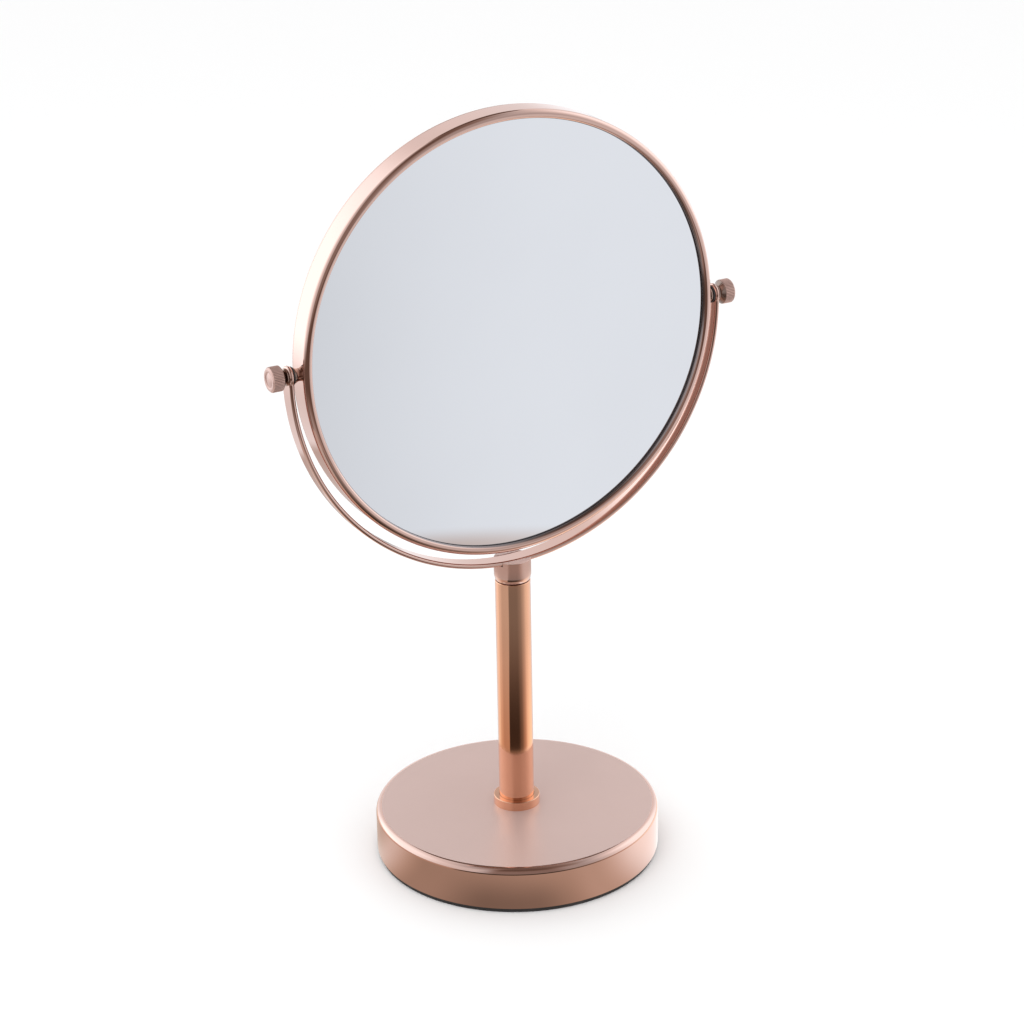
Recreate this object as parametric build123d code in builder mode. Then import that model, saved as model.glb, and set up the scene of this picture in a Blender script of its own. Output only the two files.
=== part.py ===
from build123d import *

import os
from math import sqrt

# Free-standing swivel mirror: a plain glass on one side and a magnifying glass on the other.
# Millimetres, +Z up. The origin is the middle of the base's underside, on the table.
# The pivot axis runs along X, and the plain glass faces -Y.

# Main sizes
rim_radius = 100.0
pivot_height = 250.0
base_radius = 65.0
base_height = 22.0
stem_radius = 8.0

# Clearances
seat_gap = 0.02
slip_fit = 0.1
thread_fit = 0.05
pivot_play = 0.08

# Base
base_edge_round = 3.0
shell_wall = 1.2
pad_thickness = 2.0
pad_inset = 0.8
pad_edge_round = 0.5
plate_thickness = 1.2
rod_room = 2.1
weight_gap = 0.5

# Stem
tube_wall = 1.0
tube_edge_chamfer = 0.3
flange_width = 2.6
flange_height = 4.2
flange_edge_round = 0.35
bush_height = 8.0
rod_radius = 3.0
rod_end = 1.0
washer_radius = 8.0
washer_thickness = 1.5
nut_width = 10.0
nut_height = 5.0

# Collar
collar_overhang = 0.4
collar_body = 8.0
collar_taper = 0.5
collar_taper_height = 2.0
groove_height = 0.6
groove_depth = 0.5
spigot_length = 6.0
collar_wall_drop = 0.1
slot_corner_round = 0.7

# Yoke strip
yoke_width = 8.4
yoke_thickness = 2.2
yoke_edge_round = 0.8
yoke_drop = 1.7
eye_overhang = 0.45
screw_radius = 1.5
screw_head_radius = 2.8
screw_head_height = 1.6
screw_web = 2.5
screw_bite = 1.6

# Rim and glasses
lip_width = 4.0
lip_thickness = 1.8
lip_land = 0.2
rim_edge_round = 2.2
band_wall = 1.6
tongue_wall = 0.8
glass_thickness = 1.8
glass_bevel = 0.3
glass_room = 0.3
gasket_thickness = 0.6
gasket_setback = 0.2
core_gap = 5.6
air_gap = 0.5
spacer_width = 3.0

# Pivots
stud_radius = 2.0
stud_chamfer = 0.5
stud_end_room = 0.3
boss_wall = 0.8
boss_length = 2.8
boss_flare_length = 2.0
boss_flare_rise = 0.7
rivet_radius = 2.0
rivet_head_lip = 0.5
rivet_head_thickness = 0.7
rivet_room = 0.3
friction_washer_width = 1.9
friction_washer_thickness = 0.6
clamp_washer_width = 1.7
clamp_washer_thickness = 0.5

# Thumb screws
knob_radius = 5.5
knurl_length = 4.7
knurl_depth = 0.25
knurl_count = 48
neck_shoulder = 0.5
cone_length = 2.0
knob_bevel = 0.5
dome_radius = 3.2
dome_sink = 0.35
dome_rise = 0.4

# Levels in the base, from the table up
shell_inside = base_radius - shell_wall
shell_ceiling = base_height - shell_wall
rod_bottom = pad_thickness + plate_thickness + rod_room
nut_underside = rod_bottom + rod_end
washer_underside = nut_underside + nut_height
weight_underside = washer_underside + washer_thickness
rod_hole = rod_radius + slip_fit

# Depths in the rim, measured from its middle plane
glass_back = core_gap / 2
glass_face = glass_back + glass_thickness
lip_inside = glass_face + gasket_thickness
rim_half = lip_inside + lip_thickness
seam = rim_half - rim_edge_round
lip_round = min(lip_width - rim_edge_round, lip_thickness) - lip_land
rivet_head_radius = rivet_radius + rivet_head_lip
rivet_clear = rivet_head_radius + rivet_room

# Radii in the rim
lip_radius = rim_radius - lip_width
band_inside = rim_radius - band_wall
tongue_outside = band_inside - seat_gap
tongue_inside = tongue_outside - tongue_wall
glass_radius = tongue_inside - glass_room
gasket_radius = lip_radius + gasket_setback
dish_depth = core_gap - air_gap
dish_radius = (glass_radius**2 + dish_depth**2) / (2 * dish_depth)

# Reach of each piece on the pivot axis, measured from the middle of the mirror
rivet_seat = sqrt(band_inside**2 - rivet_head_radius**2) - seat_gap
boss_foot = rim_radius + seat_gap
boss_end = boss_foot + boss_length
friction_end = boss_end + friction_washer_thickness
yoke_inside = friction_end + pivot_play
yoke_outside = yoke_inside + yoke_thickness
clamp_start = yoke_outside + pivot_play
clamp_end = clamp_start + clamp_washer_thickness
shoulder = clamp_end + seat_gap
knurl_start = shoulder + cone_length
knurl_end = knurl_start + knurl_length
knob_end = knurl_end + knob_bevel
stud_tip = boss_foot + 2 * stud_end_room

# Radii on the pivot axis
stud_hole = stud_radius + slip_fit
neck_radius = stud_radius + neck_shoulder
boss_waist_radius = stud_radius + boss_wall
boss_radius = boss_waist_radius + boss_flare_rise
eye_radius = yoke_width / 2 + eye_overhang

# Levels and radii in the stem and collar
bend_height = pivot_height - yoke_drop
strip_underside = bend_height - yoke_outside
strip_top = bend_height - yoke_inside
collar_foot = strip_underside - collar_body
tube_top = collar_foot - groove_height
tube_bore = stem_radius - tube_wall
spigot_foot = tube_top - spigot_length
rod_hole_top = strip_underside - screw_web
screw_head_top = rod_hole_top - seat_gap
screw_head_foot = screw_head_top - screw_head_height
rod_top = screw_head_foot - rod_end / 2
collar_radius = stem_radius + collar_overhang
flange_radius = stem_radius + flange_width

# Planes and axes
head_plane = Plane.XY.offset(pivot_height)
head_axis = Axis((0, 0, pivot_height), (0, 1, 0))
bend_plane = Plane.XY.offset(bend_height)
bend_axis = Axis((0, 0, bend_height), (0, 1, 0))
pivot_axis = Axis((0, 0, pivot_height), (1, 0, 0))
sides = {"left": -1, "right": 1}


def outward_plane(side):
    """Plane through the pivot axis whose x runs out along it and whose y runs up."""
    return Plane(origin=(0, 0, pivot_height), x_dir=(side, 0, 0), z_dir=(0, -side, 0))


def end_plane(side, reach):
    """Plane square to the pivot axis, this far out, facing outwards."""
    return Plane(origin=(side * reach, 0, pivot_height), x_dir=(0, 1, 0), z_dir=(side, 0, 0))


def dish(radius):
    """How deep the hollow of the magnifying glass lies below its edge at this radius."""
    return dish_depth - dish_radius + sqrt(dish_radius**2 - radius**2)


def keep(builder, name):
    builder.part.label = name
    export_step(builder.part, f"parts/{name}.step")


os.makedirs("parts", exist_ok=True)

# Base shell: a drawn cup, open below, with a hole for the tie rod
with BuildPart() as base_shell:
    with BuildSketch(Plane.XY.offset(pad_thickness)):
        Circle(base_radius)
    extrude(amount=base_height - pad_thickness)
    fillet(base_shell.edges().sort_by(Axis.Z)[-1], base_edge_round)
    offset(amount=-shell_wall, openings=base_shell.faces().sort_by(Axis.Z)[0])
    with Locations((0, 0, base_height)):
        Hole(rod_hole)
keep(base_shell, "base_shell")

# Weight: an iron disc clamped up under the shell's top
with BuildPart() as base_weight:
    with BuildSketch(Plane.XY.offset(weight_underside)):
        Circle(shell_inside - weight_gap)
    extrude(amount=shell_ceiling - weight_underside)
    chamfer(base_weight.edges().sort_by(Axis.Z)[-1], base_edge_round - shell_wall + weight_gap)
    with Locations((0, 0, shell_ceiling)):
        Hole(rod_hole)
keep(base_weight, "base_weight")

# Bottom plate, pressed into the shell, and the pad under it
with BuildPart() as base_plate:
    with BuildSketch(Plane.XY.offset(pad_thickness)):
        Circle(shell_inside - seat_gap)
    extrude(amount=plate_thickness)
keep(base_plate, "base_plate")

with BuildPart() as foot_pad:
    with BuildSketch():
        Circle(base_radius - pad_inset)
    extrude(amount=pad_thickness)
    fillet(foot_pad.edges().sort_by(Axis.Z)[0], pad_edge_round)
keep(foot_pad, "foot_pad")

# Stem: flange ring, tube and the bush that centres it
with BuildPart() as stem_flange:
    with BuildSketch(Plane.XY.offset(base_height)):
        Circle(flange_radius)
        Circle(stem_radius + slip_fit, mode=Mode.SUBTRACT)
    extrude(amount=flange_height)
    fillet(stem_flange.edges().group_by(Axis.Z)[-1].sort_by(SortBy.LENGTH)[-1], flange_edge_round)
keep(stem_flange, "stem_flange")

with BuildPart() as stem_tube:
    with BuildSketch(Plane.XY.offset(base_height)):
        Circle(stem_radius)
        Circle(tube_bore, mode=Mode.SUBTRACT)
    extrude(amount=tube_top - base_height)
    chamfer(stem_tube.edges().group_by(Axis.Z)[-1].sort_by(SortBy.LENGTH)[-1], tube_edge_chamfer)
keep(stem_tube, "stem_tube")

with BuildPart() as foot_bush:
    with BuildSketch(Plane.XY.offset(base_height)):
        Circle(tube_bore - slip_fit)
        Circle(rod_hole, mode=Mode.SUBTRACT)
    extrude(amount=bush_height)
keep(foot_bush, "foot_bush")

# Tie rod, washer and nut
with BuildPart() as tie_rod:
    with BuildSketch(Plane.XY.offset(rod_bottom)):
        Circle(rod_radius)
    extrude(amount=rod_top - rod_bottom)
    chamfer(tie_rod.edges().filter_by(GeomType.CIRCLE), rod_end / 2)
keep(tie_rod, "tie_rod")

with BuildPart() as rod_washer:
    with BuildSketch(Plane.XY.offset(washer_underside)):
        Circle(washer_radius)
        Circle(rod_hole, mode=Mode.SUBTRACT)
    extrude(amount=washer_thickness)
keep(rod_washer, "rod_washer")

with BuildPart() as rod_nut:
    with BuildSketch(Plane.XY.offset(nut_underside)):
        RegularPolygon(nut_width / 2, 6, major_radius=False)
        Circle(rod_radius + thread_fit, mode=Mode.SUBTRACT)
    extrude(amount=nut_height)
keep(rod_nut, "rod_nut")

# Collar: turned head with a spigot in the tube and a slot across its top for the strip
with BuildPart() as collar:
    with BuildSketch(Plane.YZ):
        with BuildLine():
            Polyline(
                (0, strip_top - collar_wall_drop),
                (collar_radius, strip_top - collar_wall_drop),
                (collar_radius, collar_foot + collar_taper_height),
                (collar_radius - collar_taper, collar_foot),
                (stem_radius - groove_depth, collar_foot),
                (stem_radius - groove_depth, tube_top),
                (tube_bore - slip_fit, tube_top),
                (tube_bore - slip_fit, spigot_foot),
                (0, spigot_foot),
                close=True,
            )
        make_face()
    revolve(axis=Axis.Z)
    with BuildSketch(Plane.XZ):
        with Locations((0, bend_height)):
            Circle(yoke_outside + seat_gap)
    extrude(amount=yoke_width / 2 + slip_fit, both=True, mode=Mode.SUBTRACT)
    fillet(collar.edges().filter_by(Axis.Z).group_by(Axis.Z)[-1], slot_corner_round)
    with BuildSketch(Plane.XY.offset(spigot_foot)):
        Circle(rod_radius + thread_fit)
    extrude(amount=rod_hole_top - spigot_foot, mode=Mode.SUBTRACT)
    with BuildSketch(Plane.XY.offset(rod_hole_top)):
        Circle(screw_radius + slip_fit)
    extrude(amount=screw_web, mode=Mode.SUBTRACT)
keep(collar, "collar")

# Yoke: strip bent to a half circle, with a round eye at each end, a little above the bend's middle
with BuildPart() as yoke:
    with BuildSketch(bend_plane):
        with Locations(((yoke_inside + yoke_outside) / 2, 0)):
            RectangleRounded(yoke_thickness, yoke_width, yoke_edge_round)
    revolve(axis=bend_axis, revolution_arc=180)
    for side in sides.values():
        with BuildSketch(outward_plane(side)) as eye_profile:
            with BuildLine():
                Polyline(
                    (yoke_inside, 0),
                    (yoke_outside, 0),
                    (yoke_outside, eye_radius),
                    (yoke_inside, eye_radius),
                    close=True,
                )
            make_face()
            fillet(eye_profile.vertices().group_by(Axis.Y)[-1], yoke_edge_round)
        revolve(axis=pivot_axis)
        with BuildSketch(end_plane(side, boss_foot)):
            Circle(eye_radius)
        extrude(amount=yoke_inside - boss_foot, mode=Mode.SUBTRACT)
        with BuildSketch(end_plane(side, boss_foot)):
            Circle(stud_hole)
        extrude(amount=clamp_end - boss_foot, mode=Mode.SUBTRACT)
    with BuildSketch(Plane.XY.offset(strip_underside)):
        Circle(screw_radius + thread_fit)
    extrude(amount=screw_bite + slip_fit, mode=Mode.SUBTRACT)
keep(yoke, "yoke")

# Screw that pulls the strip down into its slot, driven from below before the tie rod goes in
with BuildPart() as yoke_screw:
    with BuildSketch(Plane.XZ):
        with BuildLine():
            Polyline(
                (0, screw_head_foot),
                (screw_head_radius, screw_head_foot),
                (screw_head_radius, screw_head_top),
                (screw_radius, screw_head_top),
                (screw_radius, strip_underside + screw_bite),
                (0, strip_underside + screw_bite),
                close=True,
            )
        make_face()
    revolve(axis=Axis.Z)
keep(yoke_screw, "yoke_screw")

# Rim: band with a rounded front lip, drilled for the two bosses
with BuildPart() as rim:
    with BuildSketch(head_plane) as rim_profile:
        with BuildLine():
            Polyline(
                (lip_radius, -rim_half),
                (rim_radius, -rim_half),
                (rim_radius, seam),
                (band_inside, seam),
                (band_inside, -lip_inside),
                (lip_radius, -lip_inside),
                close=True,
            )
        make_face()
        lip_corner, band_corner = rim_profile.vertices().group_by(Axis.Y)[0].sort_by(Axis.X)
        fillet(band_corner, rim_edge_round)
        fillet(lip_corner, lip_round)
    revolve(axis=head_axis)
    with BuildSketch(end_plane(1, 0)):
        Circle(rivet_radius + seat_gap)
    extrude(amount=rim_radius, both=True, mode=Mode.SUBTRACT)
keep(rim, "rim")

# Rear bezel: the lip on the magnifying side, with a tongue pressed into the band
with BuildPart() as rear_bezel:
    with BuildSketch(head_plane) as bezel_profile:
        with BuildLine():
            Polyline(
                (lip_radius, rim_half),
                (rim_radius, rim_half),
                (rim_radius, seam),
                (tongue_outside, seam),
                (tongue_outside, rivet_clear),
                (tongue_inside, rivet_clear),
                (tongue_inside, lip_inside),
                (lip_radius, lip_inside),
                close=True,
            )
        make_face()
        lip_corner, band_corner = bezel_profile.vertices().group_by(Axis.Y)[-1].sort_by(Axis.X)
        fillet(band_corner, rim_edge_round - seat_gap)
        fillet(lip_corner, lip_round)
    revolve(axis=head_axis)
keep(rear_bezel, "rear_bezel")

# Gaskets: the front one also lines the band round the plain glass
with BuildPart() as front_gasket:
    with BuildSketch(head_plane):
        with BuildLine():
            Polyline(
                (gasket_radius, -lip_inside),
                (tongue_outside, -lip_inside),
                (tongue_outside, -rivet_clear),
                (tongue_inside, -rivet_clear),
                (tongue_inside, -glass_face),
                (gasket_radius, -glass_face),
                close=True,
            )
        make_face()
    revolve(axis=head_axis)
keep(front_gasket, "front_gasket")

with BuildPart() as rear_gasket:
    with BuildSketch(head_plane):
        with BuildLine():
            Polyline(
                (gasket_radius, glass_face),
                (tongue_inside - seat_gap, glass_face),
                (tongue_inside - seat_gap, lip_inside),
                (gasket_radius, lip_inside),
                close=True,
            )
        make_face()
    revolve(axis=head_axis)
keep(rear_gasket, "rear_gasket")

# Plain glass, with a small bevel on its edges
with BuildPart() as plain_mirror:
    with BuildSketch(Plane.XZ.offset(glass_back)):
        with Locations((0, pivot_height)):
            Circle(glass_radius)
    extrude(amount=glass_thickness)
    chamfer(plain_mirror.edges().filter_by(GeomType.CIRCLE), glass_bevel)
keep(plain_mirror, "plain_mirror")

# Magnifying glass: an even-walled dish, hollow towards +Y
with BuildPart() as magnifying_mirror:
    with BuildSketch(head_plane):
        with BuildLine():
            half = glass_radius / 2
            face_middle = (0, glass_face - dish(0))
            back_middle = (0, glass_back - dish(0))
            Line(back_middle, face_middle)
            ThreePointArc(face_middle, (half, glass_face - dish(half)), (glass_radius, glass_face))
            Line((glass_radius, glass_face), (glass_radius, glass_back))
            ThreePointArc((glass_radius, glass_back), (half, glass_back - dish(half)), back_middle)
        make_face()
    revolve(axis=head_axis)
keep(magnifying_mirror, "magnifying_mirror")

# Spacer ring between the two glasses, its back following the dish
spacer_radius = glass_radius - spacer_width
with BuildPart() as mirror_spacer:
    with BuildSketch(head_plane):
        with BuildLine():
            Polyline(
                (spacer_radius, -glass_back),
                (glass_radius, -glass_back),
                (glass_radius, glass_back - seat_gap),
                (spacer_radius, glass_back - dish(spacer_radius) - seat_gap),
                close=True,
            )
        make_face()
    revolve(axis=head_axis)
keep(mirror_spacer, "mirror_spacer")

# Pivots, alike on both sides
for name, side in sides.items():
    # Boss riveted to the band: waisted outside, bored for the stud
    with BuildPart() as pivot_boss:
        with BuildSketch(outward_plane(side)):
            with BuildLine():
                Polyline(
                    (rivet_seat - rivet_head_thickness, 0),
                    (rivet_seat - rivet_head_thickness, rivet_head_radius),
                    (rivet_seat, rivet_head_radius),
                    (rivet_seat, rivet_radius),
                    (boss_foot, rivet_radius),
                    (boss_foot, boss_waist_radius),
                )
                flare_end = (boss_foot + boss_flare_length, boss_radius)
                TangentArc((boss_foot, boss_waist_radius), flare_end, tangent=(1, 0))
                Polyline(flare_end, (boss_end, boss_radius), (boss_end, stud_radius + thread_fit))
                Polyline(
                    (boss_end, stud_radius + thread_fit),
                    (boss_foot + stud_end_room, stud_radius + thread_fit),
                    (boss_foot + stud_end_room, 0),
                    (rivet_seat - rivet_head_thickness, 0),
                )
            make_face()
        revolve(axis=pivot_axis)
    keep(pivot_boss, f"{name}_pivot_boss")

    # Friction washer inside the yoke's eye
    with BuildPart() as friction_washer:
        with BuildSketch(end_plane(side, boss_end)):
            Circle(stud_hole + friction_washer_width)
            Circle(stud_hole, mode=Mode.SUBTRACT)
        extrude(amount=friction_washer_thickness)
    keep(friction_washer, f"{name}_friction_washer")

    # Clamp washer outside it, under the thumb screw
    with BuildPart() as clamp_washer:
        with BuildSketch(end_plane(side, clamp_start)):
            Circle(stud_hole + clamp_washer_width)
            Circle(stud_hole, mode=Mode.SUBTRACT)
        extrude(amount=clamp_washer_thickness)
    keep(clamp_washer, f"{name}_clamp_washer")

    # Thumb screw: stud, tapered neck, straight-knurled head and a domed face in a groove
    root_radius = knob_radius - knurl_depth
    with BuildPart() as thumb_screw:
        with BuildSketch(outward_plane(side)):
            with BuildLine():
                Polyline(
                    (stud_tip, 0),
                    (stud_tip, stud_radius - stud_chamfer),
                    (stud_tip + stud_chamfer, stud_radius),
                    (shoulder, stud_radius),
                    (shoulder, neck_radius),
                    (knurl_start, root_radius),
                    (knurl_end, root_radius),
                    (knob_end, root_radius - knob_bevel),
                    (knob_end, dome_radius),
                    (knob_end - dome_sink, dome_radius),
                )
                dome_edge = (knob_end - dome_sink, dome_radius)
                dome_top = (knob_end - dome_sink + dome_rise, 0)
                TangentArc(dome_top, dome_edge, tangent=(0, 1))
                Line(dome_top, (stud_tip, 0))
            make_face()
        revolve(axis=pivot_axis)
        with BuildSketch(end_plane(side, knurl_start)):
            Circle(knob_radius)
            with PolarLocations(knob_radius, knurl_count):
                Rectangle(knurl_depth * sqrt(2), knurl_depth * sqrt(2), rotation=45, mode=Mode.SUBTRACT)
        extrude(amount=knurl_length)
    keep(thumb_screw, f"{name}_thumb_screw")
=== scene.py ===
"""Looks of a rose-gold swivel mirror on a round base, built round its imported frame. Metres, +Z up."""
import math

import bmesh
import bpy
from mathutils import Matrix, Vector


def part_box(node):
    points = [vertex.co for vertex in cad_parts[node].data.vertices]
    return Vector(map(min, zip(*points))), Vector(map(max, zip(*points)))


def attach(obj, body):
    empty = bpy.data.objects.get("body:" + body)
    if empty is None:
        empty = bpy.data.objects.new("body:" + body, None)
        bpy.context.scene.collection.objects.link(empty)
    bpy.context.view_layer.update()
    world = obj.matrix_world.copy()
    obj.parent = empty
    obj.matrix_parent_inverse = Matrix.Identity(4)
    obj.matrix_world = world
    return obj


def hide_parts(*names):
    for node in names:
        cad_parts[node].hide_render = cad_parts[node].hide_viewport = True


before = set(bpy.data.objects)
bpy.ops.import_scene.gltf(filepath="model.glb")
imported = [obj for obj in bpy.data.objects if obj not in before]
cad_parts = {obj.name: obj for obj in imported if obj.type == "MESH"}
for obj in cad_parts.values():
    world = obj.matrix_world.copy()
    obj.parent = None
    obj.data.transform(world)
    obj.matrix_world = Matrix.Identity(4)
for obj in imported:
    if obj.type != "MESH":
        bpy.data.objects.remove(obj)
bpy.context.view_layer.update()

mm = 0.001

# Sizes read from the frame
base_radius, base_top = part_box("base_shell")[1].xz
pad_radius, pad_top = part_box("foot_pad")[1].xz
flange_radius, flange_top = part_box("stem_flange")[1].xz
stem_radius, stem_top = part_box("stem_tube")[1].xz
collar_radius, collar_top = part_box("collar")[1].xz
rim_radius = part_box("rim")[1].x
rim_front, rim_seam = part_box("rim")[0].y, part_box("rim")[1].y
rim_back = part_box("rear_bezel")[1].y
pivot_height = (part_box("rim")[0].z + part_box("rim")[1].z) / 2
glass_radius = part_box("plain_mirror")[1].x
glass_front, glass_front_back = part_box("plain_mirror")[0].y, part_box("plain_mirror")[1].y
glass_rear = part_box("magnifying_mirror")[1].y
yoke_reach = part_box("yoke")[1].x
yoke_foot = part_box("yoke")[0].z
eye_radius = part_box("yoke")[1].z - pivot_height
bend_height = yoke_foot + yoke_reach
boss_root, boss_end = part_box("right_pivot_boss")[0].x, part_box("right_pivot_boss")[1].x
friction_start, friction_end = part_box("right_friction_washer")[0].x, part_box("right_friction_washer")[1].x
friction_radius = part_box("right_friction_washer")[1].y
clamp_start, clamp_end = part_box("right_clamp_washer")[0].x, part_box("right_clamp_washer")[1].x
clamp_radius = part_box("right_clamp_washer")[1].y
stud_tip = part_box("right_thumb_screw")[0].x
knob_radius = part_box("right_thumb_screw")[1].z - pivot_height

# Sizes that the frame's boxes don't give
shell_wall = 1.2 * mm
base_round = 3.0 * mm
base_foot_round = 0.35 * mm
pad_round = 0.5 * mm
rod_hole = 3.1 * mm
flange_round = 0.35 * mm
flange_bore = 8.1 * mm
tube_wall = 1.0 * mm
tube_chamfer = 0.3 * mm
groove_depth = 0.5 * mm
groove_height = 0.6 * mm
collar_taper = 0.5 * mm
collar_taper_height = 2.0 * mm
collar_edge = 0.18 * mm
collar_foot_round = 0.1 * mm
collar_shoulder_round = 0.4 * mm
spigot_length = 6.0 * mm
spigot_radius = 6.9 * mm
slot_gap = 0.1 * mm
slot_seat = 0.02 * mm
slot_round = 0.12 * mm
yoke_width = 8.4 * mm
yoke_thickness = 2.2 * mm
yoke_round = 1.05 * mm
lip_width = 4.0 * mm
lip_thickness = 1.8 * mm
lip_round = 1.6 * mm
rim_round = 2.2 * mm
band_wall = 1.6 * mm
seam_round = 0.12 * mm
tongue_wall = 0.8 * mm
tongue_end = 2.8 * mm
gasket_setback = 0.2 * mm
gasket_edge = 0.1 * mm
glass_bevel = 0.3 * mm
glass_thickness = 1.8 * mm
dish_depth = 5.1 * mm
stud_radius = 2.0 * mm
stud_hole = 2.1 * mm
thread_bore = 2.05 * mm
stud_chamfer = 0.5 * mm
waist_radius = 2.8 * mm
boss_radius = 3.5 * mm
boss_flare = 2.0 * mm
boss_seat = 0.02 * mm
boss_edge = 0.15 * mm
bore_floor = 0.3 * mm
rivet_radius = 2.0 * mm
rivet_head_radius = 2.5 * mm
rivet_head = 0.7 * mm
rivet_head_round = 0.2 * mm
neck_radius = 2.5 * mm
cone_length = 2.0 * mm
knurl_length = 4.7 * mm
knurl_depth = 0.25 * mm
knurl_count = 48
knob_bevel = 0.5 * mm
knob_edge = 0.12 * mm
dome_radius = 3.2 * mm
dome_gap = 0.25 * mm
dome_sink = 0.35 * mm
dome_rise = 0.4 * mm
washer_edge = 0.08 * mm
knurl_start = clamp_end + boss_seat + cone_length
knurl_end = knurl_start + knurl_length

large_steps = 288
small_steps = 96
slot_steps = 720
hoop_steps = 240
dish_steps = 24
flare_steps = 8
dome_steps = 6
tooth_steps = 4
pole = 0.002 * mm
merge_gap = 0.005 * mm


# Modelling by hand, as operators


def only(piece):
    """Selects this piece alone and makes it the active one."""
    bpy.ops.object.select_all(action="DESELECT")
    piece.select_set(True)
    bpy.context.view_layer.objects.active = piece


def to_edit(piece):
    only(piece)
    bpy.ops.object.mode_set(mode="EDIT")


def to_object():
    bpy.ops.object.mode_set(mode="OBJECT")


def pick(test):
    """In edit mode, selects the vertices whose place passes the test, and the faces between them."""
    bpy.ops.mesh.select_mode(type="VERT")
    bpy.ops.mesh.select_all(action="DESELECT")
    mesh = bmesh.from_edit_mesh(bpy.context.object.data)
    for vertex in mesh.verts:
        vertex.select = test(vertex.co)
    mesh.select_flush(True)
    bmesh.update_edit_mesh(bpy.context.object.data)


def on_ring(radius, height, near=0.02 * mm):
    """A test for the vertices of one ring of a turned piece, while it still stands on Z."""
    return lambda p: abs(math.hypot(p.x, p.y) - radius) < near and abs(p.z - height) < near


def round_off(offset, segments):
    """Rounds the selected edges."""
    bpy.ops.mesh.bevel(offset=offset, offset_type="OFFSET", segments=segments, profile=0.5, affect="EDGES")


def close_up():
    """Merges seams and poles, then turns the faces outwards."""
    bpy.ops.mesh.select_all(action="SELECT")
    bpy.ops.mesh.remove_doubles(threshold=merge_gap)
    bpy.ops.mesh.dissolve_degenerate(threshold=merge_gap / 10)
    bpy.ops.mesh.select_all(action="SELECT")
    bpy.ops.mesh.normals_make_consistent(inside=False)


def turn(name, stations, steps, ring=True):
    """A turned piece: a circle extruded from station to station, each (radius, height) or (radius, height,
    round, segments). A ring comes back to its first station; otherwise both ends close on the axis."""
    bpy.ops.object.select_all(action="DESELECT")
    radius, height = stations[0][:2]
    bpy.ops.mesh.primitive_circle_add(vertices=steps, radius=radius, location=(0, 0, height))
    piece = bpy.context.object
    piece.name = piece.data.name = name
    bpy.ops.object.transform_apply()
    to_edit(piece)
    bpy.ops.mesh.select_all(action="SELECT")
    for station in stations[1:] + stations[:1] * ring:
        bpy.ops.mesh.extrude_edges_move(TRANSFORM_OT_translate={"value": (0, 0, station[1] - height)})
        grow = station[0] / radius
        bpy.ops.transform.resize(value=(grow, grow, 1), center_override=(0, 0, station[1]))
        radius, height = station[:2]
    close_up()
    for station in stations:
        if len(station) > 2:
            pick(on_ring(*station[:2]))
            round_off(*station[2:])
    to_object()
    return piece


def lay(piece, turned=(0, 0, 0), at=(0, 0, 0)):
    """Turns a piece and puts it in its place, and writes that into its mesh."""
    only(piece)
    piece.rotation_euler = turned
    piece.location = at
    bpy.ops.object.transform_apply(location=True, rotation=True, scale=True)
    return piece


def on_head(piece):
    """Lays a piece that was turned on Z along the mirror's own axis, with its heights towards +Y."""
    return lay(piece, (-math.pi / 2, 0, 0), (0, 0, pivot_height))


def on_pivot(piece):
    """Lays a piece that was turned on Z along the right-hand pivot, with its heights towards +X."""
    return lay(piece, (0, math.pi / 2, 0), (0, 0, pivot_height))


def apply_modifier(piece, kind, **settings):
    only(piece)
    modifier = piece.modifiers.new(kind.lower(), kind)
    for key, value in settings.items():
        setattr(modifier, key, value)
    bpy.ops.object.modifier_apply(modifier=modifier.name)


def combine(piece, other, operation):
    """Joins one piece to another or cuts it with it, and deletes the other."""
    apply_modifier(piece, "BOOLEAN", operation=operation, object=other, solver="EXACT")
    bpy.data.objects.remove(other)


def smooth(piece, angle=32):
    """Smooth shading with flat faces kept flat."""
    only(piece)
    bpy.ops.object.shade_smooth_by_angle(angle=math.radians(angle))
    apply_modifier(piece, "WEIGHTED_NORMAL", weight=60, keep_sharp=True)
    return piece


def other_side(piece, name):
    """A copy of a right-hand pivot piece, turned half round the stem to the left."""
    only(piece)
    bpy.ops.object.duplicate(linked=False)
    copy = bpy.context.object
    copy.name = copy.data.name = name
    return lay(copy, (0, 0, math.pi))


# Shader maths


class Amount:
    """A shader socket that takes part in sums written as plain Python."""

    def __init__(self, tree, socket):
        self.tree = tree
        self.socket = socket

    def join(self, operation, first, second):
        node = self.tree.nodes.new("ShaderNodeMath")
        node.operation = operation
        for socket, value in zip(node.inputs, (first, second)):
            if isinstance(value, Amount):
                self.tree.links.new(value.socket, socket)
            else:
                socket.default_value = value
        return Amount(self.tree, node.outputs[0])

    def __add__(self, other):
        return self.join("ADD", self, other)

    def __radd__(self, other):
        return self.join("ADD", other, self)

    def __sub__(self, other):
        return self.join("SUBTRACT", self, other)

    def __rsub__(self, other):
        return self.join("SUBTRACT", other, self)

    def __mul__(self, other):
        return self.join("MULTIPLY", self, other)

    def __rmul__(self, other):
        return self.join("MULTIPLY", other, self)

    def __pow__(self, other):
        return self.join("POWER", self, other)

    def __abs__(self):
        return self.join("ABSOLUTE", self, 0)


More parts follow.
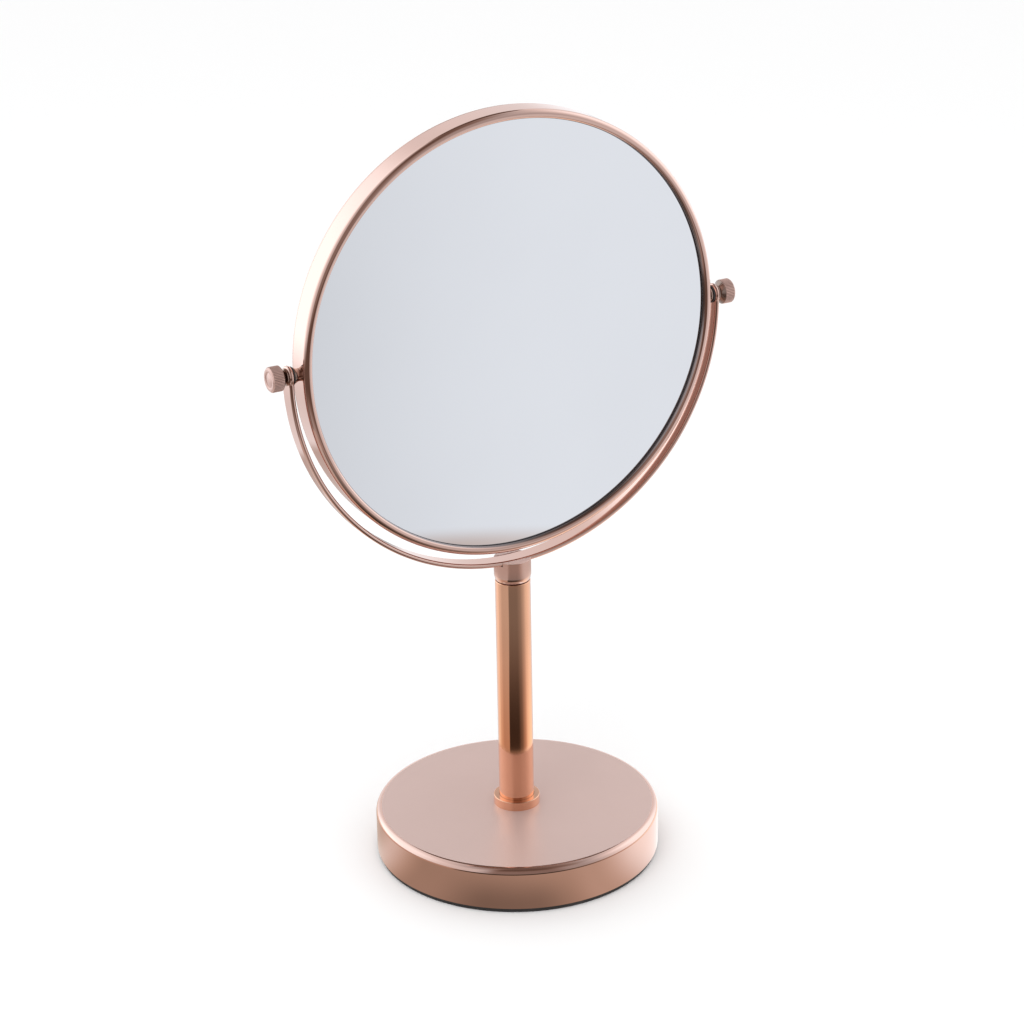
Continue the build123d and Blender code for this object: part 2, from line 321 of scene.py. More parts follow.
class Bench:
    """The nodes of one material, or of the world."""

    def __init__(self, tree):
        self.tree = tree
        tree.nodes.clear()

    def add(self, kind, settings=None, sockets=None, out=0):
        """One node: its settings come first, then the values or links of its sockets. Gives one output."""
        node = self.tree.nodes.new("ShaderNode" + kind)
        for key, value in (settings or {}).items():
            setattr(node, key, value)
        for key, value in (sockets or {}).items():
            if isinstance(value, Amount):
                self.tree.links.new(value.socket, node.inputs[key])
            else:
                node.inputs[key].default_value = value
        return Amount(self.tree, node.outputs[out])

    def place(self):
        return self.add("TexCoord", out="Object")

    def along(self, vector):
        """The three parts of a vector."""
        node = self.add("SeparateXYZ", sockets={"Vector": vector}).socket.node
        return [Amount(self.tree, socket) for socket in node.outputs]

    def stretched(self, place, scale, turned=(0, 0, 0)):
        return self.add("Mapping", sockets={"Vector": place, "Scale": scale, "Rotation": turned})

    def noise(self, place, scale, detail=2.0, rough=0.5):
        return self.add(
            "TexNoise", sockets={"Vector": place, "Scale": scale, "Detail": detail, "Roughness": rough}
        )

    def ease(self, value, low, high):
        """0 below low, 1 above high, and a soft step between."""
        return self.add(
            "MapRange",
            {"interpolation_type": "SMOOTHSTEP"},
            {"Value": value, "From Min": low, "From Max": high},
        )

    def mix(self, factor, first, second):
        """A colour between two colours."""
        return self.add("Mix", {"data_type": "RGBA"}, {0: factor, 6: first, 7: second}, out=2)

    def bump(self, height_mm):
        """Relief from a height in millimetres."""
        return self.add("Bump", sockets={"Strength": 1.0, "Distance": mm, "Height": height_mm})

    def surface(self, **sockets):
        """The finished material: a Principled shader with these sockets."""
        named = {key.replace("_", " ").title(): value for key, value in sockets.items()}
        self.end("Material", "Surface", self.add("BsdfPrincipled", sockets=named))

    def end(self, kind, socket, value):
        node = self.tree.nodes.new("ShaderNodeOutput" + kind)
        self.tree.links.new(value.socket, node.inputs[socket])


def new_finish(name):
    material = bpy.data.materials.new(name)
    material.use_nodes = True
    return material, Bench(material.node_tree)


def colour(red, green, blue):
    return (red, green, blue, 1.0)


def shaded(tone, share):
    """A colour made darker or lighter by one share."""
    return tuple(part * share for part in tone[:3]) + (1.0,)


def distance(first, second):
    """How far a place is from an axis, by its two parts across that axis."""
    return (first * first + second * second) ** 0.5


# Finishes

bright_polish = 0.05
smudge_dulling = 0.035
hairline_dulling = 0.05
hairline_depth_mm = 0.0004


def hairlines(bench, place):
    """Fine polishing scratches, in three directions, broken into patches."""
    patches = bench.ease(bench.noise(place, 35.0, 3.0), 0.45, 0.65)
    lines = 0.0
    for turned in ((0.3, 0.2, 0.1), (1.1, 0.5, 0.9), (0.7, 1.3, 2.0)):
        grain = bench.noise(bench.stretched(place, (4000.0, 70.0, 70.0), turned), 1.0, 2.0)
        lines = lines + bench.ease(grain, 0.66, 0.74)
    return lines * patches


def wear(bench, place):
    """Clouds, handling marks and hairlines of the plating on the base, rim, strip and pivots."""
    cloud = bench.ease(bench.noise(place, 16.0, 3.0), 0.3, 0.7)
    smudge = bench.ease(bench.noise(place, 55.0, 5.0, 0.6), 0.5, 0.75)
    return cloud, smudge, hairlines(bench, place)


def dulled(polish, smudge, lines):
    """The roughness of worn plating."""
    return polish + smudge_dulling * smudge + hairline_dulling * lines


def clouded(bench, cloud, tone, spread):
    """A tone made a little darker and lighter by the clouds."""
    return bench.mix(cloud, shaded(tone, 1 - spread), shaded(tone, 1 + spread))


def plated(name, tone, polish, ripple):
    """Polished rose-gold plating: cloudy tone, faint handling marks, hairlines and a slight ripple."""
    material, bench = new_finish(name)
    place = bench.place()
    cloud, smudge, lines = wear(bench, place)
    wave = bench.noise(place, 45.0, 1.0)
    bench.surface(
        base_color=clouded(bench, cloud, tone, 0.03),
        metallic=1.0,
        roughness=dulled(polish, smudge, lines),
        normal=bench.bump(ripple * wave - hairline_depth_mm * lines),
    )
    return material


rose_gold_tone = colour(0.74, 0.50, 0.43)
copper_tone = colour(0.82, 0.46, 0.31)
top_tone = colour(0.69, 0.51, 0.465)
knob_tone = colour(0.64, 0.42, 0.365)
# Bronze, made darker than the metal to stand in for the shade round the pivots, between the rim, the strip
# and the knobs
bronze_and_shade_tone = colour(0.45, 0.32, 0.27)
# Painted shade for the rim's lips where they meet the glass
lip_shade_tone = colour(0.24, 0.215, 0.215)


def base_finish():
    """The base: bright plating on the side and round edge, satin lacquer over it on the flat top."""
    material, bench = new_finish("rose_gold_base")
    place = bench.place()
    height = bench.along(place)[2]
    flat_top = bench.ease(height, base_top - 0.03 * mm, base_top - 0.005 * mm)
    cloud, smudge, lines = wear(bench, place)
    wave = bench.noise(place, 60.0, 1.0)
    satin = bench.noise(place, 5200.0, 2.0)
    side = clouded(bench, cloud, rose_gold_tone, 0.03)
    top = clouded(bench, cloud, top_tone, 0.02)
    polish = dulled(bright_polish, smudge, lines)
    relief = (1 - flat_top) * 0.012 * wave - hairline_depth_mm * lines + 0.0002 * flat_top * satin
    bench.surface(
        base_color=bench.mix(flat_top, side, top),
        metallic=1 - 0.55 * flat_top,
        roughness=polish + flat_top * (0.3 + 0.05 * smudge),
        normal=bench.bump(relief),
    )
    return material


def rim_finish():
    """The rim: polished plating, with painted shade and a rougher surface where the lips meet the glass."""
    material, bench = new_finish("rose_gold_rim")
    place = bench.place()
    across, _, height = bench.along(place)
    spoke = distance(across, height - pivot_height)
    cloud, smudge, lines = wear(bench, place)
    lip_edge = rim_radius - lip_width
    # Painted shade: the lips are darkened where they meet the glass, and rougher there
    lip_shade = bench.ease(spoke, lip_edge + 0.6 * mm, lip_edge + 0.25 * mm) * (0.85 + 0.15 * smudge)
    bright = clouded(bench, cloud, rose_gold_tone, 0.03)
    bench.surface(
        base_color=bench.mix(lip_shade, bright, lip_shade_tone),
        metallic=1.0,
        roughness=dulled(bright_polish, smudge, lines) + 0.1 * lip_shade,
        normal=bench.bump(0.002 * bench.noise(place, 45.0, 1.0) - hairline_depth_mm * lines),
    )
    return material


def knob_finish():
    """The thumb screws: satin head with painted shade in the knurl grooves, and a polished neck and stud,
    darkened with painted shade.
    """
    material, bench = new_finish("rose_gold_knob")
    place = bench.place()
    across, along, height = bench.along(place)
    reach = abs(across)
    spoke = distance(along, height - pivot_height)
    head = bench.ease(reach, knurl_start - 0.1 * mm, knurl_start + 0.1 * mm)
    knurl = head * bench.ease(reach, knurl_end, knurl_end - 0.3 * mm)
    # Painted shade in the bottoms of the knurl grooves
    groove_shade = knurl * bench.ease(spoke, knob_radius - 0.04 * mm, knob_radius - knurl_depth)
    cloud = bench.ease(bench.noise(place, 90.0, 3.0), 0.3, 0.7)
    grit = bench.noise(place, 4200.0, 2.0)
    gold = clouded(bench, cloud, knob_tone, 0.05)
    # Painted shade: the neck and stud take a darker copy of the bronze tone
    bright = bench.mix(head, shaded(bronze_and_shade_tone, 0.6), gold)
    bench.surface(
        base_color=bench.mix(groove_shade, bright, shaded(knob_tone, 0.35)),
        metallic=1 - 0.4 * head,
        roughness=0.07 + 0.2 * head + 0.04 * grit,
        normal=bench.bump(0.0004 * grit),
    )
    return material


def collar_finish():
    """The collar: bright plating, a paler satin on top and painted shade in the groove."""
    material, bench = new_finish("rose_gold_collar")
    place = bench.place()
    across, along, height = bench.along(place)
    spoke = distance(across, along)
    top = bench.ease(height, collar_top - 0.2 * mm, collar_top - 0.1 * mm)
    # Painted shade in the groove under the collar
    groove_shade = bench.ease(spoke, stem_radius - 0.1 * mm, stem_radius - 0.3 * mm)
    groove_shade = groove_shade * bench.ease(height, stem_top + groove_height + 0.2 * mm, stem_top + groove_height)
    lines = hairlines(bench, place)
    rings = bench.noise(bench.stretched(place, (20.0, 20.0, 2600.0)), 1.0, 3.0)
    bright = bench.mix(top, rose_gold_tone, shaded(top_tone, 1.1))
    bench.surface(
        base_color=bench.mix(groove_shade, bright, shaded(rose_gold_tone, 0.2)),
        metallic=1 - 0.55 * top,
        roughness=0.08 + 0.03 * rings + hairline_dulling * lines + 0.25 * top,
        normal=bench.bump(0.0003 * rings - hairline_depth_mm * lines),
    )
    return material


def stem_finish():
    """The stem: a bright drawn tube with fine turning rings."""
    material, bench = new_finish("rose_gold_stem")
    place = bench.place()
    cloud = bench.ease(bench.noise(place, 25.0, 3.0), 0.3, 0.7)
    rings = bench.noise(bench.stretched(place, (20.0, 20.0, 2600.0)), 1.0, 3.0)
    drawn = bench.noise(bench.stretched(place, (900.0, 900.0, 12.0)), 1.0, 2.0)
    smudge = bench.ease(bench.noise(place, 70.0, 5.0, 0.6), 0.5, 0.75)
    bench.surface(
        base_color=clouded(bench, cloud, copper_tone, 0.03),
        metallic=1.0,
        roughness=0.05 + 0.03 * rings + 0.03 * smudge,
        normal=bench.bump(0.0003 * rings + 0.0005 * drawn),
    )
    return material


def mirror_finish(name, tone):
    """Silvered glass: near perfect, with a breath of haze and a few wipe marks."""
    material, bench = new_finish(name)
    place = bench.place()
    haze = bench.ease(bench.noise(place, 12.0, 3.0), 0.35, 0.75)
    strokes = bench.stretched(place, (25.0, 25.0, 160.0), (0.4, 0.2, 0.7))
    wipes = bench.ease(bench.noise(strokes, 1.0, 3.0), 0.6, 0.8)
    bench.surface(
        base_color=bench.mix(haze, tone, shaded(tone, 0.985)),
        metallic=1.0,
        roughness=0.012 + 0.012 * haze + 0.012 * wipes,
    )
    return material


def rubber_finish(name, tone, grain):
    """Soft rubber: a fine moulded grain with dust in it."""
    material, bench = new_finish(name)
    place = bench.place()
    pores = bench.noise(place, grain, 3.0, 0.6)
    dust = bench.ease(bench.noise(place, 90.0, 4.0, 0.6), 0.5, 0.8)
    bench.surface(
        base_color=bench.mix(0.25 * dust, tone, colour(0.14, 0.135, 0.13)),
        roughness=0.55 + 0.2 * pores,
        normal=bench.bump(0.02 * pores),
    )
    return material


def nylon_finish(name, tone):
    """Moulded nylon: smooth, with slight flow marks."""
    material, bench = new_finish(name)
    place = bench.place()
    flow = bench.noise(bench.stretched(place, (60.0, 300.0, 300.0)), 1.0, 3.0)
    bench.surface(
        base_color=bench.mix(flow, tone, shaded(tone, 1.5)),
        roughness=0.38 + 0.15 * flow,
        normal=bench.bump(0.004 * flow),
    )
    return material


def steel_finish(name, tone):
    """Zinc-plated steel: grey spangle under fine turning marks."""
    material, bench = new_finish(name)
    place = bench.place()
    spangle = bench.noise(place, 240.0, 3.0, 0.6)
    marks = bench.noise(bench.stretched(place, (80.0, 80.0, 3000.0)), 1.0, 2.0)
    bench.surface(
        base_color=bench.mix(spangle, shaded(tone, 0.85), shaded(tone, 1.1)),
        metallic=1.0,
        roughness=0.28 + 0.15 * spangle,
        normal=bench.bump(0.002 * marks),
    )
    return material


def iron_finish(name):
    """Raw cast iron: pitted, dark and dull, with a little rust bloom."""
    material, bench = new_finish(name)
    place = bench.place()
    pits = bench.noise(place, 900.0, 4.0, 0.65)
    rust = bench.ease(bench.noise(place, 45.0, 4.0, 0.6), 0.55, 0.8)
    bench.surface(
        base_color=bench.mix(rust * 0.5, colour(0.10, 0.10, 0.105), colour(0.16, 0.07, 0.035)),
        metallic=0.6,
        roughness=0.62 + 0.2 * pits,
        normal=bench.bump(0.05 * pits),
    )
    return material


# Pieces of the stand


def model_base_shell():
    inside = base_radius - shell_wall
    ceiling = base_top - shell_wall
    stations = [
        (inside, pad_top),
        (base_radius, pad_top, base_foot_round, 3),
        (base_radius, base_top, base_round, 20),
        (rod_hole, base_top),
        (rod_hole, ceiling),
        (inside, ceiling),
    ]
    return smooth(turn("base_cup", stations, large_steps))


def model_foot_pad():
    stations = [
        (pole, 0),
        (pad_radius, 0, pad_round, 5),
        (pad_radius, pad_top),
        (pole, pad_top),
    ]
    return smooth(turn("rubber_foot", stations, large_steps, ring=False))


def model_stem_flange():
    stations = [
        (flange_bore, base_top),
        (flange_radius, base_top),
        (flange_radius, flange_top, flange_round, 8),
        (flange_bore, flange_top),
    ]
    return smooth(turn("foot_ring", stations, small_steps * 2))


def model_stem_tube():
    bore = stem_radius - tube_wall
    stations = [
        (bore, base_top),
        (stem_radius, base_top),
        (stem_radius, stem_top, tube_chamfer, 3),
        (bore, stem_top),
    ]
    return smooth(turn("stem", stations, small_steps * 2))


def model_collar():
    """Turned head with a groove under it, slotted across the top for the strip."""
    foot = stem_top + groove_height
    neck = stem_radius - groove_depth
    stations = [
        (pole, stem_top - spigot_length),
        (spigot_radius, stem_top - spigot_length),
        (spigot_radius, stem_top),
        (neck, stem_top),
        (neck, foot),
        (collar_radius - collar_taper, foot, collar_foot_round, 2),
        (collar_radius, foot + collar_taper_height, collar_shoulder_round, 4),
        (collar_radius, collar_top, collar_edge, 3),
        (pole, collar_top),
    ]
    collar = turn("stem_head", stations, small_steps * 2, ring=False)
    half = yoke_width / 2 + slot_gap
    slot_radius = yoke_reach + slot_seat
    slot = [(pole, -half), (slot_radius, -half), (slot_radius, half), (pole, half)]
    cutter = lay(turn("slot_cutter", slot, slot_steps, ring=False), (-math.pi / 2, 0, 0), (0, 0, bend_height))
    combine(collar, cutter, "DIFFERENCE")
    apply_modifier(collar, "BEVEL", width=slot_round, segments=2, limit_method="ANGLE", angle_limit=1.0)
    return smooth(collar)


def model_yoke():
    """Flat strip with round edges, bent to a half circle, with a round eye at each end."""
    bpy.ops.object.select_all(action="DESELECT")
    yoke_inside = yoke_reach - yoke_thickness
    middle = yoke_reach - yoke_thickness / 2
    bpy.ops.mesh.primitive_plane_add(size=1, location=(middle, 0, bend_height))
    yoke = bpy.context.object
    yoke.name = yoke.data.name = "half_hoop"
    yoke.scale = (yoke_thickness, yoke_width, 1)
    bpy.ops.object.transform_apply()
    to_edit(yoke)
    bpy.ops.mesh.select_all(action="SELECT")
    bpy.ops.mesh.spin(steps=hoop_steps, angle=math.pi, center=(0, 0, bend_height), axis=(0, -1, 0))
    close_up()
    for side in (-1, 1):
        pick(lambda p: abs(p.z - bend_height) < 0.01 * mm and p.x * side > 0)
        upwards = (0, 0, pivot_height - bend_height)
        bpy.ops.mesh.extrude_region_move(TRANSFORM_OT_translate={"value": upwards})
    close_up()
    to_object()
    apply_modifier(yoke, "BEVEL", width=yoke_round, segments=8, limit_method="ANGLE", angle_limit=0.9)
    far = yoke_reach + yoke_thickness
    disc = [
        (pole, yoke_inside),
        (eye_radius, yoke_inside, yoke_round, 8),
        (eye_radius, yoke_reach, yoke_round, 8),
        (pole, yoke_reach),
    ]
    right_eye = on_pivot(turn("right_eye", disc, small_steps, ring=False))
    for eye in (other_side(right_eye, "left_eye"), right_eye):
        combine(yoke, eye, "UNION")
    hole = [(pole, -far), (stud_hole, -far), (stud_hole, far), (pole, far)]
    combine(yoke, on_pivot(turn("eye_cutter", hole, small_steps, ring=False)), "DIFFERENCE")
    return smooth(yoke)


# Pieces of the head, turned with their heights towards +Y


def model_rim():
    """Band and rounded front lip."""
    lip_radius = rim_radius - lip_width
    inside = rim_radius - band_wall
    lip_back = rim_front + lip_thickness
    stations = [
        (lip_radius, lip_back),
        (lip_radius, rim_front, lip_round, 14),
        (rim_radius, rim_front, rim_round, 16),
        (rim_radius, rim_seam, seam_round, 2),
        (inside, rim_seam),
        (inside, lip_back),
    ]
    return smooth(on_head(turn("mirror_rim", stations, large_steps)))


def model_rear_bezel():
    """The lip on the magnifying side, with its tongue inside the band."""
    lip_radius = rim_radius - lip_width
    lip_front = rim_back - lip_thickness
    tongue = rim_radius - band_wall - boss_seat
    stations = [
        (lip_radius, lip_front),
        (tongue - tongue_wall, lip_front),
        (tongue - tongue_wall, tongue_end),
        (tongue, tongue_end),
        (tongue, rim_seam),
        (rim_radius, rim_seam, seam_round, 2),
        (rim_radius, rim_back, rim_round - seam_round - boss_seat, 16),
        (lip_radius, rim_back, lip_round, 14),
    ]
    return smooth(on_head(turn("back_rim", stations, large_steps)))


def model_gasket(name, outer_face, glass_face):
    inside = rim_radius - lip_width + gasket_setback
    outside = rim_radius - band_wall - tongue_wall - 2 * boss_seat
    low, high = sorted((outer_face, glass_face))
    stations = [
        (inside, low, gasket_edge, 2),
        (outside, low),
        (outside, high),
        (inside, high, gasket_edge, 2),
    ]
    return smooth(on_head(turn(name, stations, large_steps)))


def model_plain_mirror():
    stations = [
        (pole, glass_front),
        (glass_radius, glass_front, glass_bevel, 1),
        (glass_radius, glass_front_back, glass_bevel, 1),
        (pole, glass_front_back),
    ]
    return smooth(on_head(turn("plain_glass", stations, large_steps, ring=False)), angle=10)


def model_magnifying_mirror():
    """An even dish, hollow towards the back."""
    sphere = (glass_radius**2 + dish_depth**2) / (2 * dish_depth)
    rings = [glass_radius * step / dish_steps for step in range(dish_steps + 1)]

    def depth(radius):
        return dish_depth - sphere + math.sqrt(sphere**2 - radius**2)

    face = [(max(radius, pole), glass_rear - depth(radius)) for radius in rings]
    back = [(radius, height - glass_thickness) for radius, height in reversed(face)]
    return smooth(on_head(turn("magnifying_glass", face + back, large_steps, ring=False)), angle=30)


# Pivot pieces, modelled on the right and copied to the left


def model_pivot_boss():
    foot = rim_radius + boss_seat
    seat = boss_root + rivet_head
    flare = [
        (
            waist_radius + (boss_radius - waist_radius) * (step / flare_steps) ** 2,
            foot + boss_flare * step / flare_steps,
        )
        for step in range(flare_steps + 1)
    ]
    stations = [
        (pole, boss_root),
        (rivet_head_radius, boss_root, rivet_head_round, 3),
        (rivet_head_radius, seat),
        (rivet_radius, seat),
        (rivet_radius, foot),
        *flare,
        (boss_radius, boss_end, boss_edge, 3),
        (thread_bore, boss_end),
        (thread_bore, foot + bore_floor),
        (pole, foot + bore_floor),
    ]
    return smooth(on_pivot(turn("right_boss", stations, small_steps, ring=False)))


def model_washer(name, start, end, radius):
    stations = [
        (stud_hole, start),
        (radius, start, washer_edge, 2),
        (radius, end, washer_edge, 2),
        (stud_hole, end),
    ]
    return smooth(on_pivot(turn(name, stations, small_steps)))


def model_thumb_screw():
    """Stud, tapered neck, straight-knurled head and a low dome sunk in its face."""
    shoulder = knurl_start - cone_length
    face = knurl_end + knob_bevel
    root = knob_radius - knurl_depth
    steps = knurl_count * tooth_steps
    dome = [
        (
            max(dome_radius * (1 - step / dome_steps), pole),
            face - dome_sink + dome_rise * (1 - (1 - step / dome_steps) ** 2),
        )
        for step in range(dome_steps + 1)
    ]
    stations = [
        (pole, stud_tip),
        (stud_radius - stud_chamfer, stud_tip),
        (stud_radius, stud_tip + stud_chamfer),
        (stud_radius, shoulder),
        (neck_radius, shoulder),
        (root, knurl_start),
        (knob_radius, knurl_start + knurl_depth),
        (knob_radius, knurl_end - knurl_depth),
        (root, knurl_end),
        (root - knob_bevel, face, knob_edge, 3),
        (dome_radius + dome_gap, face, knob_edge, 3),
        (dome_radius, face - dome_sink),
        *dome[1:],
    ]
    screw = turn("right_knob", stations, steps, ring=False)
    to_edit(screw)
    step_angle = 2 * math.pi / steps

    def in_groove(p, step):
        on_crest = abs(math.hypot(p.x, p.y) - knob_radius) < 0.02 * mm
        return on_crest and round(math.atan2(p.y, p.x) / step_angle) % tooth_steps == step

    for step, depth in ((0, knurl_depth), (1, knurl_depth / 2), (3, knurl_depth / 2)):
        pick(lambda p: in_groove(p, step))
        sunk = 1 - depth / knob_radius
        bpy.ops.transform.resize(value=(sunk, sunk, 1), center_override=(0, 0, 0))
    to_object()
    return smooth(on_pivot(screw), angle=25)


def dress(piece, body, slot, finish, *nodes):
    """Gives a piece its finish, puts it on its body and lets it stand for its nodes."""
    piece.data.materials.clear()
    piece.data.materials.append(finish)
    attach(piece, body)
    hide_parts(*nodes)


def build_object():
    rim_gold = rim_finish()
    strip_gold = plated("rose_gold_strip", rose_gold_tone, 0.05, 0.002)
    # The pivots' bronze, partly darkened as painted shade
    bronze_and_shade = plated("rose_gold_pivot", bronze_and_shade_tone, 0.09, 0.001)
    knob_gold = knob_finish()
    copper = stem_finish()
    rubber = rubber_finish("black_rubber_foot", colour(0.028, 0.027, 0.028), 2600.0)
    seal = rubber_finish("black_rubber_seal", colour(0.042, 0.041, 0.046), 3800.0)
    nylon = nylon_finish("black_nylon", colour(0.02, 0.02, 0.02))
    steel = steel_finish("zinc_steel", colour(0.62, 0.63, 0.65))
    silver = colour(0.94, 0.955, 0.99)

    dress(model_base_shell(), "stand", "rose_gold", base_finish(), "base_shell")
    dress(model_foot_pad(), "stand", "black_rubber", rubber, "foot_pad")
    dress(model_stem_flange(), "stand", "rose_gold", copper, "stem_flange")
    dress(model_stem_tube(), "stand", "rose_gold", copper, "stem_tube")
    dress(model_collar(), "stand", "rose_gold", collar_finish(), "collar")
    dress(model_yoke(), "stand", "rose_gold", strip_gold, "yoke")

    dress(model_rim(), "mirror_head", "rose_gold", rim_gold, "rim")
    dress(model_rear_bezel(), "mirror_head", "rose_gold", rim_gold, "rear_bezel")
    front_seal = model_gasket("front_seal", rim_front + lip_thickness, glass_front)
    dress(front_seal, "mirror_head", "black_rubber", seal, "front_gasket")
    rear_seal = model_gasket("rear_seal", rim_back - lip_thickness, glass_rear)
    dress(rear_seal, "mirror_head", "black_rubber", seal, "rear_gasket")
    plain = mirror_finish("silvered_glass", silver)
    dress(model_plain_mirror(), "mirror_head", "mirror_glass", plain, "plain_mirror")
    dress(model_magnifying_mirror(), "mirror_head", "mirror_glass", plain, "magnifying_mirror")

    pivots = [
        (model_pivot_boss(), "boss", "mirror_head", "rose_gold_brass", bronze_and_shade, "pivot_boss"),
        (
            model_washer("right_friction_ring", friction_start, friction_end, friction_radius),
            "friction_ring", "mirror_head", "black_nylon", nylon, "friction_washer",
        ),
        (
            model_washer("right_clamp_ring", clamp_start, clamp_end, clamp_radius),
            "clamp_ring", "clamp", "rose_gold_brass", bronze_and_shade, "clamp_washer",
        ),
        (model_thumb_screw(), "knob", "screw", "rose_gold_brass", knob_gold, "thumb_screw"),
    ]
    for piece, name, body, slot, finish, node in pivots:
        for side, copy in (("left", other_side(piece, "left_" + name)), ("right", piece)):
            rides = body if body == "mirror_head" else f"{side}_{body}"
            dress(copy, rides, slot, finish, f"{side}_{node}")

    hidden = {
        "base_plate": steel,
        "tie_rod": steel,
        "rod_washer": steel,
        "rod_nut": steel,
        "yoke_screw": steel,
        "base_weight": iron_finish("cast_iron"),
        "foot_bush": nylon,
        "mirror_spacer": nylon,
    }
    for node, finish in hidden.items():
        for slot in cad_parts[node].material_slots:
            slot.material = finish


# Stage, light and camera

view_azimuth = math.radians(-28.248)
view_elevation = math.radians(22.571)
view_roll = math.radians(-1.087)
view_distance = 1.3233
view_aim_side = 0.000269
view_aim_height = 0.166305
view_lens = 104.9
towards_camera = Vector((math.sin(view_azimuth), -math.cos(view_azimuth), 0))
camera_right = Vector((math.cos(view_azimuth), math.sin(view_azimuth), 0))


def set_camera():
    back = towards_camera * math.cos(view_elevation) + Vector((0, 0, math.sin(view_elevation)))
    up = back.cross(camera_right)
    right = camera_right * math.cos(view_roll) + up * math.sin(view_roll)
    up = back.cross(right)
    camera = bpy.data.objects.new("camera", bpy.data.cameras.new("camera"))
    bpy.context.scene.collection.objects.link(camera)
    camera.data.sensor_width = 36.0
    camera.data.lens = view_lens
    camera.data.clip_start = 0.05
    camera.data.clip_end = 50.0
    place = camera_right * view_aim_side + Vector((0, 0, view_aim_height)) + back * view_distance
    camera.matrix_world = Matrix.Translation(place) @ Matrix((right, up, back)).transposed().to_4x4()
    bpy.context.scene.camera = camera


white_light = colour(1, 1, 1)
day_light = colour(0.985, 1, 1.03)
warm_light = colour(1, 0.70, 0.57)
cool_light = colour(1, 1.1, 1.16)
pale_light = colour(1, 0.96, 0.92)
honey_light = colour(1, 0.84, 0.66)
blush_light = colour(1, 0.8, 0.72)
amber_light = colour(1, 0.79, 0.64)
ember_light = colour(1, 0.63, 0.43)


def bearing(bench, across, along):
    """Degrees round the object from the photographer's side, growing to their right."""
    near = across * towards_camera.x + along * towards_camera.y
    right = across * camera_right.x + along * camera_right.y
    return bench.add("Math", {"operation": "ARCTAN2"}, {0: right, 1: near}) * (180 / math.pi)


def set_world():
    """White for the camera, even white light, and a studio with a dark near side for reflections."""
    world = bpy.data.worlds.new("studio")
    bpy.context.scene.world = world
    world.use_nodes = True
    bench = Bench(world.node_tree)
    across, along, height = bench.along(bench.add("TexCoord", out="Generated"))
    round_about = bearing(bench, across, along)
    aside = abs(round_about)
    rise = bench.add("Math", {"operation": "ARCSINE"}, {0: height}) * (180 / math.pi)

    # Below the horizon: dim in front, lighter to both sides and behind
    facing = bench.ease(aside, 110, 60)
    table = 0.14 + 0.65 * bench.ease(round_about, 38, 58) + 0.45 * bench.ease(round_about, 62, 150)
    table = table + 0.25 * bench.ease(round_about, -50, -80) + 0.6 * bench.ease(round_about, -80, -150)
    table = table + 0.3 * bench.ease(rise, -22, -36) * bench.ease(aside, 60, 35)
    table = table + bench.ease(rise, -36, -62) * facing * (0.55 - table)
    table = table * (1 - 0.3 * bench.ease(rise, -40, -65) * (1 - facing))
    table = table + bench.ease(aside, 145, 178) * (1.1 - table)
    behind = bench.ease(aside, 160, 172) * bench.ease(abs(rise + 21), 12, 5)
    table = table * (1 - 0.55 * behind)
    # Above it: a dark front, a lit left with a window, a lit right and a backdrop
    front = 0.3 - 0.15 * bench.ease(rise, 30, 60)
    left = 0.5 * bench.ease(round_about, -16, -36) + 0.72 * bench.ease(round_about, -36, -112)
    window = bench.ease(round_about, -95, -120) * bench.ease(round_about, -145, -128)
    left = left + 0.25 * window * bench.ease(rise, 30, 14)
    right = 0.17 * bench.ease(round_about, 25, 45) + 0.98 * bench.ease(round_about, 45, 115)
    high = bench.ease(rise, 35, 75)
    room = front + left * (1 - 0.5 * high) + right * (1 - 0.75 * high)
    backdrop = 0.95 + 0.15 * bench.ease(rise, 12, -2)
    backdrop = backdrop - 0.8 * bench.ease(rise + 0.9 * aside, 187, 193)
    room = room + bench.ease(aside, 132, 160) * (backdrop - room)
    room = room + bench.ease(rise, 64, 88) * (0.2 - room)
    # The soft line between them, lower to the left
    far_left = bench.ease(round_about, -60, -110)
    low = -10 - 8 * bench.ease(round_about, -20, -34) - 8 * far_left
    glow = table + bench.ease(rise, low, -1 - 7 * far_left) * (room - table)
    tint = bench.mix(bench.ease(glow, 0.1, 0.6), warm_light, day_light)
    tint = bench.mix(bench.ease(glow, 0.95, 1.4), tint, cool_light)

    seen = bench.add("LightPath", out="Is Camera Ray")
    glossy = bench.add("LightPath", out="Is Glossy Ray")
    even = bench.add("Background", sockets={"Color": white_light, "Strength": 1.02})
    studio = bench.add("Background", sockets={"Color": tint, "Strength": glow})
    white = bench.add("Background", sockets={"Color": white_light, "Strength": 1.0})
    unseen = bench.add("MixShader", sockets={0: glossy, 1: even, 2: studio})
    bench.end("World", "Surface", bench.add("MixShader", sockets={0: seen, 1: unseen, 2: white}))


def stage_sheet(name, stations):
    """A thin turned sheet for the stage, facing up."""
    sheet = turn(name, stations, large_steps, ring=False)
    if sheet.data.polygons[0].normal.z < 0:
        to_edit(sheet)
        bpy.ops.mesh.select_all(action="SELECT")
        bpy.ops.mesh.flip_normals()
        to_object()
    return sheet


floor_reach = 3.0
table_reach = 0.39
table_fade = 0.03
table_lift = 0.4 * mm
# How far out the part of the table starts that the stem mirrors, and then the collar
stem_zone = (0.102, 0.110)
collar_zone = (0.312, 0.319)
# Height on the stem that mirrors a place on the table, for each metre out, from the photo's side
stem_slope = 0.455
plain_tone = 0.78


def set_floor():
    """A wide white floor that takes the object's shadow and stays out of reflections."""
    floor = stage_sheet("floor", [(pole, 0), (floor_reach, 0)])
    material, bench = new_finish("floor_white")
    bench.surface(base_color=colour(0.93, 0.93, 0.93), roughness=0.9)
    floor.data.materials.append(material)
    floor.visible_glossy = False


